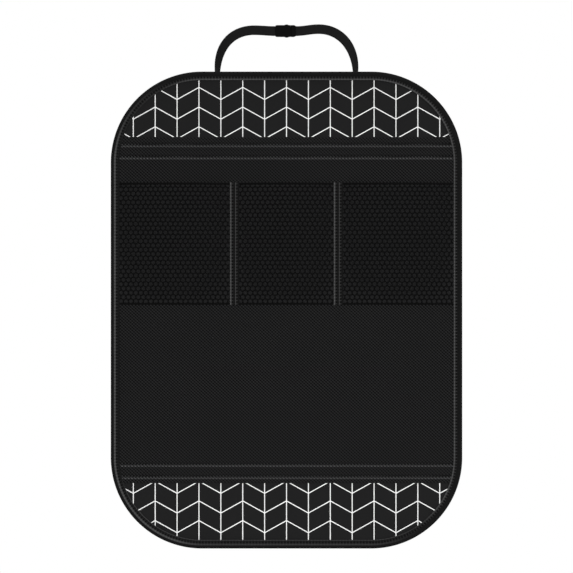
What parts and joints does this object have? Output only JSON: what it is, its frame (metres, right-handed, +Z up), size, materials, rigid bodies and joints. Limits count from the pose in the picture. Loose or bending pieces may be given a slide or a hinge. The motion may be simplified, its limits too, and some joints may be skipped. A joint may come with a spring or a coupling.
{
  "type": "car seat kick mat",
  "caption": "Soft rounded mat that hangs on the back of a car seat, with a mesh pocket strip, bound edge, lined print and a webbing strap with a side release buckle.",
  "frame": {"origin": "centre of the flat rear face that lies against the seat back", "axes": "+X along the mat to the right as a rear passenger sees it, +Y out of the rear face into the seat, +Z up to the strap"},
  "size_m": [0.456, 0.0282, 0.6808],
  "materials": {
    "backing": "plain woven, black",
    "printed_cloth": "smooth woven, off black",
    "white_ink": "printed, white",
    "twill": "coarse twill, black",
    "mesh": "open knitted mesh, black",
    "tape": "woven tape, black",
    "thread": "sewing thread, black",
    "webbing": "flat webbing, black",
    "buckle": "moulded, black"
  },
  "bodies": {
    "root": {"back_panel": "backing", "print_panel": "printed_cloth", "print_lines_top": "white_ink", "print_lines_top_corner_1": "white_ink", "print_lines_top_corner_2": "white_ink", "print_lines_bottom": "white_ink", "print_lines_bottom_corner_1": "white_ink", "print_lines_bottom_corner_2": "white_ink", "centre_panel": "twill", "mesh_strip": "mesh", "pocket_mouth_elastic": "tape", "pocket_foot_tape": "tape", "edge_binding": "tape", "binding_stitch": "thread", "panel_stitch_top_outer": "thread", "panel_stitch_top_inner": "thread", "panel_stitch_bottom_inner": "thread", "panel_stitch_bottom_outer": "thread", "divider_tape_left": "tape", "divider_tape_right": "tape", "divider_stitch_left_outer": "thread", "divider_stitch_left_inner": "thread", "divider_stitch_right_outer": "thread", "divider_stitch_right_inner": "thread", "strap_left": "webbing", "strap_right": "webbing", "strap_tack_left": "thread", "strap_tack_right": "thread", "buckle_socket": "buckle", "buckle_plug": "buckle"}
  },
  "joints": []
}
